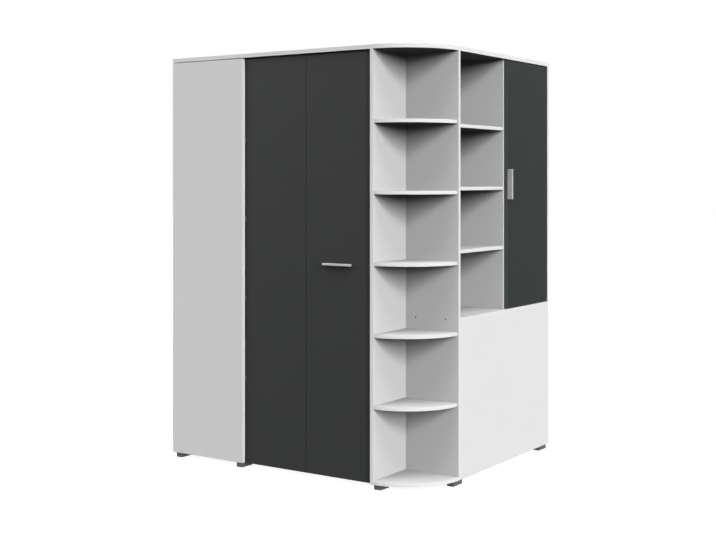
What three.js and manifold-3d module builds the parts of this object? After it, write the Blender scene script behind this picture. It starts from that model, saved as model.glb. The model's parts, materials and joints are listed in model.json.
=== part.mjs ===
// Walk-in corner wardrobe with a two-leaf folding door, a quarter-round shelf tower,
// an open shelf bay and a small cupboard above a closed lower section.
//
// Lengths are in millimetres. Sizes are first laid out from the left front corner on the floor:
// x runs along the folding door front to the right, y runs back into the room corner, z is up.
// The last lines move the whole wardrobe so that its origin is the bottom centre of its box.

import * as THREE from 'three';
import { mergeVertices } from 'three/addons/utils/BufferGeometryUtils.js';
import Module from 'manifold-3d';

const wasm = await Module();
wasm.setup();

// Overall sizes and board thicknesses

const WIDTH = 1390;
const DEPTH = 1162;
const CARCASS_HEIGHT = 1850;
const FOOT_HEIGHT = 22;
const BOARD = 15;
const TOP_THICKNESS = 18;
const BACK_SHEET = 3;
const BACK_SHEET_INSET = 3;
const BACK_SHEET_LIFT = 10;

// Plan: the fixed front panel, the folding door opening and the tower share the width

const FRONT_PANEL_WIDTH = 422;
const FRONT_PANEL_TOP_GAP = 3;
const TOWER_RADIUS = 264;
const TOWER_SHELF_SETBACK = 7;
const COLUMN_DEPTH = 415;
const STILE_DEPTH = 80;

// Shelf heights, as clear heights between boards

const TOWER_SHELF_COUNT = 5;
const TOWER_BOTTOM_CLEAR = 300;
const TOWER_TOP_CLEAR = 296;
const MID_BOARD_TOP = 690;
const OPEN_SHELF_COUNT = 3;
const OPEN_BOTTOM_CLEAR = 274;
const OPEN_TOP_CLEAR = 311;
const OPEN_BAY_WIDTH = 431;
const CUPBOARD_SHELF_COUNT = 2;
const CUPBOARD_SHELF_SETBACK = 30;
const COLUMN_SHELF_COUNT = 3;

// Folding door and cupboard door

const DOOR_THICKNESS = 15;
const LEAF_RECESS = 15;
const JAMB_GAP = 4;
const FOLD_GAP = 2;
const CLOSING_GAP = 3;
const DOOR_TOP_GAP = 5;
const DOOR_BOTTOM_GAP = 3;
const CUPBOARD_DOOR_OVERLAY = 9;
const DOOR_BACK_GAP = 2;

// Cranked hinges: the pin stands inside the door's front corner, so that the door swings clear

const PIN_INSET = 5.5;
const HINGE_HEIGHT = 44;
const HINGE_KNUCKLE_RADIUS = 3.5;
const HINGE_PIN_RADIUS = 1.5;
const RUNNING_GAP = 0.3;
const FRAME_PLATE_THICKNESS = 1.2;
const FRAME_PLATE_LENGTH = 41;
const FRAME_TONGUE_HEIGHT = 20;
const FRAME_TONGUE_LENGTH = 3.5;
const FRAME_CRANK_REACH = 10;
const CRANK_THICKNESS = 2;
const DOOR_PLATE_THICKNESS = 1.5;
const DOOR_PLATE_LENGTH = 36;
const NOTCH_CLEARANCE = 1;
const NOTCH_SKIN = 1.5;
const NOTCH_REACH = 4;
const JAMB_HINGE_COUNT = 4;
const JAMB_HINGE_FIRST = 384;
const JAMB_HINGE_LAST = 1465;
const CUPBOARD_HINGE_COUNT = 2;
const CUPBOARD_HINGE_MARGIN = 120;

// Strip hinge along the fold, on the backs of the two leaves

const STRIP_KNUCKLE_RADIUS = 4;
const STRIP_PIN_RADIUS = 1.5;
const STRIP_PLATE_THICKNESS = 1.2;
const STRIP_PLATE_WIDTH = 26;
const STRIP_KNUCKLE_LENGTH = 60;
const STRIP_END_MARGIN = 12;
const STRIP_SIDE_GAP = 0.6;

// Guide pin on the second leaf, and the track that it runs in under the top board

const GUIDE_SHANK_RADIUS = 2.5;
const GUIDE_SHANK_LENGTH = 20;
const GUIDE_FLANGE_RADIUS = 5;
const GUIDE_FLANGE_THICKNESS = 1.5;
const GUIDE_ROLLER_RADIUS = 3;
const GUIDE_ENTRY = 6.5;
const TRACK_SIDE_CLEARANCE = 0.5;
const TRACK_WALL = 1.5;
const TRACK_HEIGHT = 9;
const TRACK_START = 470;

// Handles

const HANDLE_LENGTH = 138;
const HANDLE_WIDTH = 10;
const HANDLE_PROJECTION = 25;
const HANDLE_EDGE_RADIUS = 2.5;
const HANDLE_END = 12;
const HANDLE_LIP = 3.5;
const HANDLE_WEB = 2.5;
const LEAF_HANDLE_HEIGHT = 916;
const CUPBOARD_HANDLE_HEIGHT = 1261;
const CUPBOARD_HANDLE_INSET = 4;

// Clothes rail and its sockets

const RAIL_HEIGHT = 30;
const RAIL_WIDTH = 15;
const RAIL_WALL = 1.5;
const RAIL_DROP = 90;
const RAIL_FROM_BACK = 280;
const SOCKET_PLATE = 3;
const SOCKET_MARGIN = 9;
const SOCKET_WALL = 3;
const SOCKET_DEPTH = 16;

// Feet

const FOOT_WIDTH = 36;
const FOOT_LENGTH = 78;
const FOOT_CORNER_RADIUS = 6;
const FOOT_TAPER = 1;
const FOOT_FRONT_INSET = 5;
const FOOT_SIDE_INSET = 17;
const FOOT_STILE_INSET = 5;
const FOOT_TOWER_SIDE_INSET = 12;
const FOOT_TOWER_FRONT_INSET = 9;
const FOOT_RIGHT_INSET = 7;
const FOOT_REAR_INSET = 15;
const FOOT_HIDDEN_INSET = 6;

// Screw seats in the tower back, where it is screwed to the end of the middle board

const SCREW_SEAT_RADIUS = 3.5;
const SCREW_SEAT_DEPTH = 1.5;
const SCREW_FROM_INNER_CORNER = 50;
const SCREW_SPACING = 149;

// Facets of round shapes, and how far a cutter runs past what it cuts

const TOWER_ARC_STEPS = 28;
const CORNER_ARC_STEPS = 5;
const ROUND_STEPS = 16;
const STRIP_STEPS = 12;
const OVERRUN = 1;

// Planes of the carcass, worked out from the sizes above

const zBottom = FOOT_HEIGHT;
const zTop = FOOT_HEIGHT + CARCASS_HEIGHT;
const zUnderTop = zTop - TOP_THICKNESS;
const zMidTop = zBottom + MID_BOARD_TOP;
const zMidUnder = zMidTop - BOARD;
const xTowerPanel = WIDTH - TOWER_RADIUS - BOARD;
const xTowerInner = WIDTH - TOWER_RADIUS;
const yTowerBack = TOWER_RADIUS + BOARD;
const yOuterPanel = DEPTH - BOARD;
const xRightFace = WIDTH - DOOR_THICKNESS;
const xShelfFront = xRightFace - DOOR_BACK_GAP;
const yDivider = yTowerBack + OPEN_BAY_WIDTH;
const yColumnBack = LEAF_RECESS + COLUMN_DEPTH;
const xStile = FRONT_PANEL_WIDTH - BOARD;

// Doors, hinge pins and guide, worked out from the sizes above

const leafWidth = (xTowerPanel - FRONT_PANEL_WIDTH - JAMB_GAP - FOLD_GAP - CLOSING_GAP) / 2;
const xLeftLeaf = FRONT_PANEL_WIDTH + JAMB_GAP;
const xRightLeaf = xLeftLeaf + leafWidth + FOLD_GAP;
const zDoorTop = zUnderTop - DOOR_TOP_GAP;
const yLeafBack = LEAF_RECESS + DOOR_THICKNESS;
const jambPin = { x: xLeftLeaf + PIN_INSET, y: LEAF_RECESS + PIN_INSET };
const foldPin = { x: xRightLeaf - FOLD_GAP / 2, y: yLeafBack + STRIP_KNUCKLE_RADIUS };
const guidePin = { x: xRightLeaf + leafWidth - PIN_INSET, y: jambPin.y };
const yCupboardDoorLeft = yDivider + BOARD - CUPBOARD_DOOR_OVERLAY;
const yCupboardDoorRight = yOuterPanel - JAMB_GAP;
const zCupboardDoor = zMidTop + DOOR_BOTTOM_GAP;
const cupboardPin = { x: WIDTH - PIN_INSET, y: yCupboardDoorRight - PIN_INSET };
const trackWidth = 2 * (GUIDE_ROLLER_RADIUS + TRACK_SIDE_CLEARANCE + TRACK_WALL);

// Materials

function finish(color, roughness, metalness) {
  return new THREE.MeshStandardMaterial({ color, roughness, metalness });
}

const white = () => finish(0xefefee, 0.45, 0);
const anthracite = () => finish(0x3f4342, 0.5, 0);
const hardboard = () => finish(0xe6e5e2, 0.7, 0);
const satinMetal = () => finish(0xb9babc, 0.35, 0.9);
const zincSteel = () => finish(0xa9abad, 0.4, 0.9);
const chrome = () => finish(0xd0d2d4, 0.15, 1);
const darkPlastic = () => finish(0x4a4c4e, 0.6, 0);
const greyPlastic = () => finish(0x8d9092, 0.5, 0);

// Solids: closed geometries joined and cut, and turned back into a mesh geometry

function toSolid(geometry) {
  const plain = geometry.index ? geometry.clone() : geometry;
  plain.deleteAttribute('normal');
  plain.deleteAttribute('uv');
  const merged = mergeVertices(plain);
  return new wasm.Manifold(new wasm.Mesh({
    numProp: 3,
    vertProperties: new Float32Array(merged.attributes.position.array),
    triVerts: new Uint32Array(merged.index.array),
  }));
}

function toGeometry(solid) {
  const mesh = solid.getMesh();
  const geometry = new THREE.BufferGeometry();
  geometry.setAttribute('position', new THREE.BufferAttribute(mesh.vertProperties, 3));
  geometry.setIndex(new THREE.BufferAttribute(mesh.triVerts, 1));
  return geometry;
}

function join(geometries) {
  return toGeometry(geometries.map(toSolid).reduce((whole, piece) => whole.add(piece)));
}

function cut(geometry, cutters) {
  const whole = toSolid(geometry);
  return toGeometry(cutters.map(toSolid).reduce((rest, cutter) => rest.subtract(cutter), whole));
}

// A box given by its lowest and highest corners

function block(low, high) {
  const size = high.map((value, i) => value - low[i]);
  const middle = high.map((value, i) => (value + low[i]) / 2);
  return new THREE.BoxGeometry(...size).translate(...middle);
}

// An outline in the xy plane raised from z = 0, and an upright round bar on the z axis

function raise(shape, height, curveSegments = CORNER_ARC_STEPS) {
  return new THREE.ExtrudeGeometry(shape, { depth: height, bevelEnabled: false, curveSegments });
}

function roundBar(radius, z0, z1, steps = ROUND_STEPS) {
  return new THREE.CylinderGeometry(radius, radius, z1 - z0, steps)
    .rotateX(Math.PI / 2)
    .translate(0, 0, (z0 + z1) / 2);
}

// A rectangle with round corners about the origin, and the same with half-round ends

function roundedRectangle(width, height, radius) {
  const x = width / 2 - radius;
  const y = height / 2 - radius;
  const shape = new THREE.Shape();
  shape.absarc(x, y, radius, 0, Math.PI / 2);
  shape.absarc(-x, y, radius, Math.PI / 2, Math.PI);
  shape.absarc(-x, -y, radius, Math.PI, 1.5 * Math.PI);
  shape.absarc(x, -y, radius, 1.5 * Math.PI, 2 * Math.PI);
  shape.closePath();
  return shape;
}

function stadium(width, height) {
  return roundedRectangle(width, height, Math.min(width, height) / 2);
}

// The scene graph: every sub-part is one named mesh inside the wardrobe group

const wardrobe = new THREE.Group();

function addPart(name, geometry, material) {
  const mesh = new THREE.Mesh(geometry, material);
  mesh.name = name;
  wardrobe.add(mesh);
  return mesh;
}

// Places a mesh so that its own x, y and z axes point along the given directions

function orient(mesh, place, xAxis, yAxis) {
  const x = new THREE.Vector3(...xAxis);
  const y = new THREE.Vector3(...yAxis);
  const turn = new THREE.Matrix4().makeBasis(x, y, new THREE.Vector3().crossVectors(x, y));
  mesh.quaternion.setFromRotationMatrix(turn);
  mesh.position.set(...place);
}

// Top board: one sheet with a round corner over the tower and a groove for the door track

function topBoardOutline() {
  const shape = new THREE.Shape();
  shape.moveTo(0, 0);
  shape.lineTo(xTowerInner, 0);
  shape.absarc(xTowerInner, TOWER_RADIUS, TOWER_RADIUS, -Math.PI / 2, 0);
  shape.lineTo(WIDTH, DEPTH);
  shape.lineTo(0, DEPTH);
  shape.closePath();
  return shape;
}

function makeTopBoard() {
  const halfGroove = trackWidth / 2 + RUNNING_GAP;
  const groove = block(
    [TRACK_START - RUNNING_GAP, guidePin.y - halfGroove, zUnderTop - OVERRUN],
    [xTowerPanel + RUNNING_GAP, guidePin.y + halfGroove, zUnderTop + TRACK_HEIGHT + RUNNING_GAP],
  );
  const board = raise(topBoardOutline(), TOP_THICKNESS, TOWER_ARC_STEPS).translate(0, 0, zUnderTop);
  addPart('top_board', cut(board, [groove]), white());
}

// Left wall, fixed front panel, and the stile behind it that carries the folding door

function panel(name, [x0, y0, z0], [x1, y1, z1]) {
  return addPart(name, block([x0, y0, z0], [x1, y1, z1]), white());
}

function makeLeftSide() {
  panel('left_side_panel', [0, LEAF_RECESS, zBottom], [BOARD, DEPTH, zUnderTop]);
  const zFrontTop = zUnderTop - FRONT_PANEL_TOP_GAP;
  panel('front_left_panel', [0, 0, zBottom], [FRONT_PANEL_WIDTH, LEAF_RECESS, zFrontTop]);
  const yStileBack = LEAF_RECESS + STILE_DEPTH;
  panel('hinge_stile', [xStile, LEAF_RECESS, zBottom], [FRONT_PANEL_WIDTH, yStileBack, zUnderTop]);
}

// Linen column behind the fixed front panel, open towards the inside of the wardrobe

function columnBoard(name, z) {
  panel(name, [BOARD, LEAF_RECESS, z], [xStile, yColumnBack, z + BOARD]);
}

function makeColumn() {
  const yBack = yColumnBack + BOARD;
  panel('column_back_panel', [BOARD, yColumnBack, zBottom], [FRONT_PANEL_WIDTH, yBack, zUnderTop]);
  columnBoard('column_bottom_board', zBottom);
  const pitch = (zUnderTop - zBottom) / (COLUMN_SHELF_COUNT + 1);
  for (let i = 1; i <= COLUMN_SHELF_COUNT; i++) {
    columnBoard(`column_shelf_${i}`, zBottom + i * pitch);
  }
}

// Quarter-round tower: two full-height panels at a right angle and round-fronted shelves

function quarterShelf(radius) {
  const shape = new THREE.Shape();
  shape.moveTo(0, 0);
  shape.lineTo(0, -radius);
  shape.absarc(0, 0, radius, -Math.PI / 2, 0);
  shape.closePath();
  return raise(shape, BOARD, TOWER_ARC_STEPS);
}

function addTowerBoard(name, radius, z) {
  addPart(name, quarterShelf(radius), white()).position.set(xTowerInner, TOWER_RADIUS, z);
}

function screwSeat(x) {
  return roundBar(SCREW_SEAT_RADIUS, -OVERRUN, SCREW_SEAT_DEPTH)
    .rotateX(-Math.PI / 2)
    .translate(x, TOWER_RADIUS, zMidTop - BOARD / 2);
}

function makeTower() {
  panel('tower_left_panel', [xTowerPanel, 0, zBottom], [xTowerInner, yTowerBack, zUnderTop]);
  const back = block([xTowerInner, TOWER_RADIUS, zBottom], [WIDTH, yTowerBack, zUnderTop]);
  const firstScrew = xTowerInner + SCREW_FROM_INNER_CORNER;
  const seats = [screwSeat(firstScrew), screwSeat(firstScrew + SCREW_SPACING)];
  addPart('tower_back_panel', cut(back, seats), white());
  addTowerBoard('tower_bottom_board', TOWER_RADIUS, zBottom);
  const lowest = zBottom + BOARD + TOWER_BOTTOM_CLEAR;
  const highest = zUnderTop - TOWER_TOP_CLEAR - BOARD;
  const pitch = (highest - lowest) / (TOWER_SHELF_COUNT - 1);
  for (let i = 0; i < TOWER_SHELF_COUNT; i++) {
    addTowerBoard(`tower_shelf_${i + 1}`, TOWER_RADIUS - TOWER_SHELF_SETBACK, lowest + i * pitch);
  }
}

// Right block: a closed lower section, and above it the open bay and the cupboard

function makeLowerSection() {
  panel('lower_right_panel', [xRightFace, yTowerBack, zBottom], [WIDTH, yOuterPanel, zMidUnder]);
  const zFloorBoard = zBottom + BOARD;
  panel('lower_bottom_board', [xTowerInner, yTowerBack, zBottom], [xRightFace, yOuterPanel, zFloorBoard]);
  panel('mid_board', [xTowerInner, yTowerBack, zMidUnder], [WIDTH, yOuterPanel, zMidTop]);
  panel('outer_right_panel', [xTowerPanel, yOuterPanel, zBottom], [WIDTH, DEPTH, zUnderTop]);
}

function makeUpperSection() {
  panel('inner_back_panel', [xTowerPanel, yTowerBack, zMidUnder], [xTowerInner, yOuterPanel, zUnderTop]);
  panel('cupboard_divider', [xTowerInner, yDivider, zMidTop], [xShelfFront, yDivider + BOARD, zUnderTop]);
  const lowest = zMidTop + OPEN_BOTTOM_CLEAR;
  const highest = zUnderTop - OPEN_TOP_CLEAR - BOARD;
  const pitch = (highest - lowest) / (OPEN_SHELF_COUNT - 1);
  for (let i = 0; i < OPEN_SHELF_COUNT; i++) {
    const z = lowest + i * pitch;
    panel(`open_shelf_${i + 1}`, [xTowerInner, yTowerBack, z], [xShelfFront, yDivider, z + BOARD]);
  }
  const step = (zUnderTop - zMidTop) / (CUPBOARD_SHELF_COUNT + 1);
  const front = xShelfFront - CUPBOARD_SHELF_SETBACK;
  for (let i = 1; i <= CUPBOARD_SHELF_COUNT; i++) {
    const z = zMidTop + i * step;
    panel(`cupboard_shelf_${i}`, [xTowerInner, yDivider + BOARD, z], [front, yOuterPanel, z + BOARD]);
  }
}

function makeBackSheet() {
  const y = DEPTH - BACK_SHEET_INSET;
  const sheet = block([BOARD, y - BACK_SHEET, zBottom + BACK_SHEET_LIFT], [xTowerPanel, y, zUnderTop]);
  addPart('rear_back_sheet', sheet, hardboard());
}

// Cranked hinge, drawn about its pin: x points along the closed door, y to its back, z along the pin.
// The frame half holds the pin between two end knuckles, and the door half turns on it.

const knuckleEnd = HINGE_HEIGHT / 2;
const knuckleMiddle = HINGE_HEIGHT / 4;
const xFramePlate = -(PIN_INSET + JAMB_GAP);
const yDoorBack = DOOR_THICKNESS - PIN_INSET;

function frameCrank(z0, z1) {
  return [
    block(
      [xFramePlate, FRAME_CRANK_REACH - CRANK_THICKNESS, z0],
      [-HINGE_PIN_RADIUS, FRAME_CRANK_REACH, z1],
    ),
    block([-HINGE_KNUCKLE_RADIUS, 0, z0], [-HINGE_PIN_RADIUS, FRAME_CRANK_REACH, z1]),
    roundBar(HINGE_KNUCKLE_RADIUS, z0, z1),
  ];
}

function hingeFrameHalf() {
  const plateHigh = xFramePlate + FRAME_PLATE_THICKNESS;
  const yPlate = FRAME_CRANK_REACH - CRANK_THICKNESS;
  const tongue = FRAME_TONGUE_HEIGHT / 2;
  return join([
    block([xFramePlate, yPlate, -knuckleEnd], [plateHigh, FRAME_PLATE_LENGTH, knuckleEnd]),
    block([xFramePlate, -FRAME_TONGUE_LENGTH, -tongue], [plateHigh, yPlate + OVERRUN, tongue]),
    ...frameCrank(-knuckleEnd, -knuckleMiddle),
    ...frameCrank(knuckleMiddle, knuckleEnd),
    roundBar(HINGE_PIN_RADIUS, -knuckleEnd, knuckleEnd),
  ]);
}

function hingeDoorHalf() {
  const half = knuckleMiddle - RUNNING_GAP;
  const plateBack = yDoorBack + DOOR_PLATE_THICKNESS;
  const body = join([
    roundBar(HINGE_KNUCKLE_RADIUS, -half, half),
    block([HINGE_PIN_RADIUS, 0, -half], [HINGE_KNUCKLE_RADIUS, plateBack, half]),
    block([HINGE_PIN_RADIUS, yDoorBack, -half], [NOTCH_REACH + OVERRUN, plateBack, half]),
    block([NOTCH_REACH, yDoorBack, -knuckleEnd], [DOOR_PLATE_LENGTH, plateBack, knuckleEnd]),
  ]);
  return cut(body, [roundBar(HINGE_PIN_RADIUS + RUNNING_GAP, -knuckleEnd, knuckleEnd)]);
}

// Room in the door's edge for a hinge: open to the edge and the back, with a skin left in front

function hingeNotch() {
  const half = knuckleEnd + NOTCH_CLEARANCE;
  return block(
    [-PIN_INSET - OVERRUN, NOTCH_SKIN - PIN_INSET, -half],
    [NOTCH_REACH, yDoorBack + OVERRUN, half],
  );
}

function spread(count, first, last) {
  const pitch = (last - first) / (count - 1);
  return Array.from({ length: count }, (_, i) => first + i * pitch);
}

const jambHingeHeights = spread(JAMB_HINGE_COUNT, zBottom + JAMB_HINGE_FIRST, zBottom + JAMB_HINGE_LAST);
const cupboardHingeHeights = spread(
  CUPBOARD_HINGE_COUNT,
  zCupboardDoor + CUPBOARD_HINGE_MARGIN,
  zDoorTop - CUPBOARD_HINGE_MARGIN,
);

function addHingePair(name, place, xAxis, yAxis) {
  orient(addPart(`${name}_frame_half`, hingeFrameHalf(), zincSteel()), place, xAxis, yAxis);
  orient(addPart(`${name}_door_half`, hingeDoorHalf(), zincSteel()), place, xAxis, yAxis);
}

function makeHinges() {
  jambHingeHeights.forEach((z, i) => {
    addHingePair(`jamb_hinge_${i + 1}`, [jambPin.x, jambPin.y, z], [1, 0, 0], [0, 1, 0]);
  });
  cupboardHingeHeights.forEach((z, i) => {
    addHingePair(`cupboard_hinge_${i + 1}`, [cupboardPin.x, cupboardPin.y, z], [0, -1, 0], [-1, 0, 0]);
  });
}

// Folding door: the left leaf hangs on the jamb hinges, the right leaf on the left one

function makeLeaves() {
  const notches = jambHingeHeights.map((z) => hingeNotch().translate(jambPin.x, jambPin.y, z));
  const left = block([xLeftLeaf, LEAF_RECESS, zBottom], [xLeftLeaf + leafWidth, yLeafBack, zDoorTop]);
  addPart('left_door_leaf', cut(left, notches), anthracite());
  const zShank = zDoorTop - GUIDE_SHANK_LENGTH - RUNNING_GAP;
  const shankBore = roundBar(GUIDE_SHANK_RADIUS + RUNNING_GAP, zShank, zDoorTop + OVERRUN)
    .translate(guidePin.x, guidePin.y, 0);
  const right = block([xRightLeaf, LEAF_RECESS, zBottom], [xRightLeaf + leafWidth, yLeafBack, zDoorTop]);
  addPart('right_door_leaf', cut(right, [shankBore]), anthracite());
}

// The cupboard door's notches are the hinge's own, seen in the direction of its closed door

function cupboardNotch(z) {
  const turn = new THREE.Matrix4().makeBasis(
    new THREE.Vector3(0, -1, 0),
    new THREE.Vector3(-1, 0, 0),
    new THREE.Vector3(0, 0, -1),
  );
  return hingeNotch().applyMatrix4(turn).translate(cupboardPin.x, cupboardPin.y, z);
}

function makeCupboardDoor() {
  const door = block([xRightFace, yCupboardDoorLeft, zCupboardDoor], [WIDTH, yCupboardDoorRight, zDoorTop]);
  addPart('cupboard_door', cut(door, cupboardHingeHeights.map(cupboardNotch)), anthracite());
}

// Strip hinge, drawn about its pin for the left leaf: the plate lies on the back of the leaf.
// Even knuckles belong to the left half, which holds the pin, and odd ones to the right half.

const stripBottom = zBottom + STRIP_END_MARGIN;
const stripTop = zDoorTop - STRIP_END_MARGIN;
const stripKnuckles = 2 * Math.round((stripTop - stripBottom) / STRIP_KNUCKLE_LENGTH / 2) + 1;
const stripPitch = (stripTop - stripBottom) / stripKnuckles;

function stripHalf(side) {
  const first = side < 0 ? 0 : 1;
  const inner = FOLD_GAP / 2 + STRIP_SIDE_GAP;
  const clear = STRIP_KNUCKLE_RADIUS + STRIP_SIDE_GAP;
  const yLow = -STRIP_KNUCKLE_RADIUS;
  const yHigh = yLow + STRIP_PLATE_THICKNESS;
  const plate = (x0, x1, z0, z1) => block(
    [Math.min(side * x0, side * x1), yLow, z0],
    [Math.max(side * x0, side * x1), yHigh, z1],
  );
  const pieces = [plate(clear, STRIP_PLATE_WIDTH, stripBottom, stripTop)];
  for (let k = first; k < stripKnuckles; k += 2) {
    const z0 = stripBottom + k * stripPitch + RUNNING_GAP / 2;
    const z1 = stripBottom + (k + 1) * stripPitch - RUNNING_GAP / 2;
    pieces.push(plate(0, clear + inner, z0, z1));
    pieces.push(roundBar(STRIP_KNUCKLE_RADIUS, z0, z1, STRIP_STEPS));
  }
  if (side < 0) {
    const pin = roundBar(STRIP_PIN_RADIUS, stripBottom + RUNNING_GAP, stripTop - RUNNING_GAP, STRIP_STEPS);
    return join([...pieces, pin]);
  }
  const boreRadius = STRIP_PIN_RADIUS + RUNNING_GAP;
  return cut(join(pieces), [roundBar(boreRadius, stripBottom - OVERRUN, stripTop + OVERRUN, STRIP_STEPS)]);
}

function makeFoldHinge() {
  const left = addPart('fold_hinge_left_half', stripHalf(-1), zincSteel());
  const right = addPart('fold_hinge_right_half', stripHalf(1), zincSteel());
  for (const half of [left, right]) half.position.set(foldPin.x, foldPin.y, 0);
}

// Guide pin: a shank in the leaf's top edge, a flange on the edge, and a nylon roller above

function makeGuide() {
  const rollerTop = DOOR_TOP_GAP + GUIDE_ENTRY;
  const outline = [
    [0, -GUIDE_SHANK_LENGTH],
    [GUIDE_SHANK_RADIUS, -GUIDE_SHANK_LENGTH],
    [GUIDE_SHANK_RADIUS, 0],
    [GUIDE_FLANGE_RADIUS, 0],
    [GUIDE_FLANGE_RADIUS, GUIDE_FLANGE_THICKNESS],
    [GUIDE_ROLLER_RADIUS, GUIDE_FLANGE_THICKNESS],
    [GUIDE_ROLLER_RADIUS, rollerTop],
    [0, rollerTop],
  ].map(([r, h]) => new THREE.Vector2(r, h));
  const turned = new THREE.LatheGeometry(outline, ROUND_STEPS).rotateX(Math.PI / 2);
  addPart('guide_pin', turned, greyPlastic()).position.set(guidePin.x, guidePin.y, zDoorTop);
}

// The track is a channel drawn about its own middle and set into the groove of the top board

function makeTrack() {
  const length = xTowerPanel - TRACK_START;
  const half = trackWidth / 2;
  const outer = block([0, -half, 0], [length, half, TRACK_HEIGHT]);
  const slot = block(
    [-OVERRUN, TRACK_WALL - half, -OVERRUN],
    [length + OVERRUN, half - TRACK_WALL, TRACK_HEIGHT - TRACK_WALL],
  );
  addPart('guide_track', cut(outer, [slot]), greyPlastic()).position.set(TRACK_START, guidePin.y, zUnderTop);
}

// Handle, drawn with its length along x, standing out along -y, its closed web up and its hollow down

function handleBody() {
  const profile = new THREE.Shape();
  const half = HANDLE_WIDTH / 2;
  const r = HANDLE_EDGE_RADIUS;
  profile.moveTo(0, -half);
  profile.lineTo(HANDLE_PROJECTION - r, -half);
  profile.absarc(HANDLE_PROJECTION - r, r - half, r, -Math.PI / 2, 0);
  profile.absarc(HANDLE_PROJECTION - r, half - r, r, 0, Math.PI / 2);
  profile.lineTo(0, half);
  profile.closePath();
  const turn = new THREE.Matrix4().makeBasis(
    new THREE.Vector3(0, -1, 0),
    new THREE.Vector3(0, 0, 1),
    new THREE.Vector3(-1, 0, 0),
  );
  const bar = raise(profile, HANDLE_LENGTH).applyMatrix4(turn).translate(HANDLE_LENGTH / 2, 0, 0);
  const hollow = block(
    [HANDLE_END - HANDLE_LENGTH / 2, HANDLE_LIP - HANDLE_PROJECTION, -half - OVERRUN],
    [HANDLE_LENGTH / 2 - HANDLE_END, -HANDLE_LIP, half - HANDLE_WEB],
  );
  return cut(bar, [hollow]);
}

function makeHandles() {
  orient(
    addPart('leaf_handle', handleBody(), satinMetal()),
    [xRightLeaf + leafWidth / 2, LEAF_RECESS, zBottom + LEAF_HANDLE_HEIGHT],
    [1, 0, 0],
    [0, 1, 0],
  );
  orient(
    addPart('cupboard_handle', handleBody(), satinMetal()),
    [WIDTH, yCupboardDoorLeft + CUPBOARD_HANDLE_INSET + HANDLE_WIDTH / 2, zBottom + CUPBOARD_HANDLE_HEIGHT],
    [0, 0, 1],
    [-1, 0, 0],
  );
}

// Clothes rail: an oval tube across the back, held in a collar at each end

function alongX(geometry) {
  return geometry.applyMatrix4(new THREE.Matrix4().makeBasis(
    new THREE.Vector3(0, 1, 0),
    new THREE.Vector3(0, 0, 1),
    new THREE.Vector3(1, 0, 0),
  ));
}

function railSocket() {
  const collarWidth = RAIL_WIDTH + 2 * (RUNNING_GAP + SOCKET_WALL);
  const collarHeight = RAIL_HEIGHT + 2 * (RUNNING_GAP + SOCKET_WALL);
  const plate = raise(stadium(collarWidth + SOCKET_MARGIN, collarHeight + SOCKET_MARGIN), SOCKET_PLATE);
  const collar = raise(stadium(collarWidth, collarHeight), SOCKET_DEPTH);
  const room = raise(stadium(RAIL_WIDTH + 2 * RUNNING_GAP, RAIL_HEIGHT + 2 * RUNNING_GAP), SOCKET_DEPTH)
    .translate(0, 0, SOCKET_PLATE);
  return alongX(cut(join([plate, collar]), [room]));
}

function makeRail() {
  const y = DEPTH - RAIL_FROM_BACK;
  const z = zUnderTop - RAIL_DROP;
  const start = BOARD + SOCKET_PLATE + RUNNING_GAP;
  const length = xTowerPanel - BOARD - 2 * (SOCKET_PLATE + RUNNING_GAP);
  const section = stadium(RAIL_WIDTH, RAIL_HEIGHT);
  section.holes.push(stadium(RAIL_WIDTH - 2 * RAIL_WALL, RAIL_HEIGHT - 2 * RAIL_WALL));
  addPart('clothes_rail', alongX(raise(section, length)), chrome()).position.set(start, y, z);
  addPart('rail_socket_left', railSocket(), greyPlastic()).position.set(BOARD, y, z);
  const right = addPart('rail_socket_right', railSocket(), greyPlastic());
  orient(right, [xTowerPanel, y, z], [-1, 0, 0], [0, -1, 0]);
}

// Feet: low plastic glides with round corners, drawn in towards the floor

function footBody() {
  const slab = raise(roundedRectangle(FOOT_WIDTH, FOOT_LENGTH, FOOT_CORNER_RADIUS), FOOT_HEIGHT);
  const taper = (width) => {
    const shape = new THREE.Shape();
    shape.moveTo(-width / 2 + FOOT_TAPER, 0);
    shape.lineTo(width / 2 - FOOT_TAPER, 0);
    shape.lineTo(width / 2, FOOT_HEIGHT);
    shape.lineTo(-width / 2, FOOT_HEIGHT);
    shape.closePath();
    return shape;
  };
  const acrossX = raise(taper(FOOT_WIDTH), FOOT_LENGTH)
    .rotateX(Math.PI / 2)
    .translate(0, FOOT_LENGTH / 2, 0);
  const acrossY = raise(taper(FOOT_LENGTH), FOOT_WIDTH)
    .rotateX(Math.PI / 2)
    .rotateZ(Math.PI / 2)
    .translate(-FOOT_WIDTH / 2, 0, 0);
  return toGeometry(toSolid(slab).intersect(toSolid(acrossX)).intersect(toSolid(acrossY)));
}

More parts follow.
